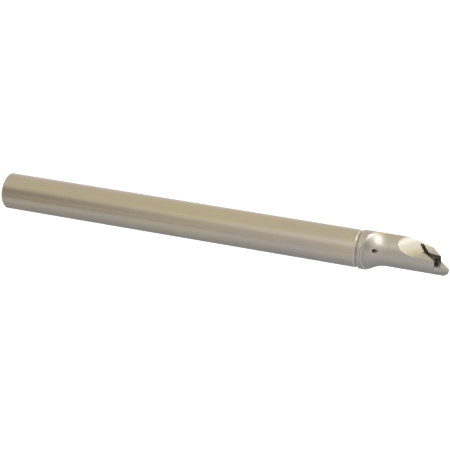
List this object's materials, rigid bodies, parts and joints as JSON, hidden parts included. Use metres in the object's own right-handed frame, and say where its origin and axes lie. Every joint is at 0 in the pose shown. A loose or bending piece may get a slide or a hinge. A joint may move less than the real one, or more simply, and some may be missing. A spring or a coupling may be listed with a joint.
{
  "type": "boring bar",
  "caption": "Round steel boring bar with a coolant bore, an off-centre neck and a scooped head whose pocket takes a rhombic screw-on insert.",
  "frame": {"origin": "on the shank axis at the rear face, at the mouth of the coolant inlet", "axes": "+X along the shank from the rear face to the nose, +Z out of the insert seat, +Y to the side away from the cutting nose"},
  "size_m": [0.2027, 0.0164, 0.0164],
  "materials": {
    "plated_steel": "satin nickel plate",
    "screw_steel": "black oxide"
  },
  "bodies": {
    "bar": {"bar_body": "plated_steel"},
    "screw": {"insert_screw": "screw_steel"}
  },
  "joints": [
    {"name": "screw_turn", "type": "hinge", "parent": "bar", "child": "screw", "pos_m": [0.19643, 0.00026, -0.00115], "axis": [0, 0, 1], "range_deg": [-573, 3645]}
  ]
}
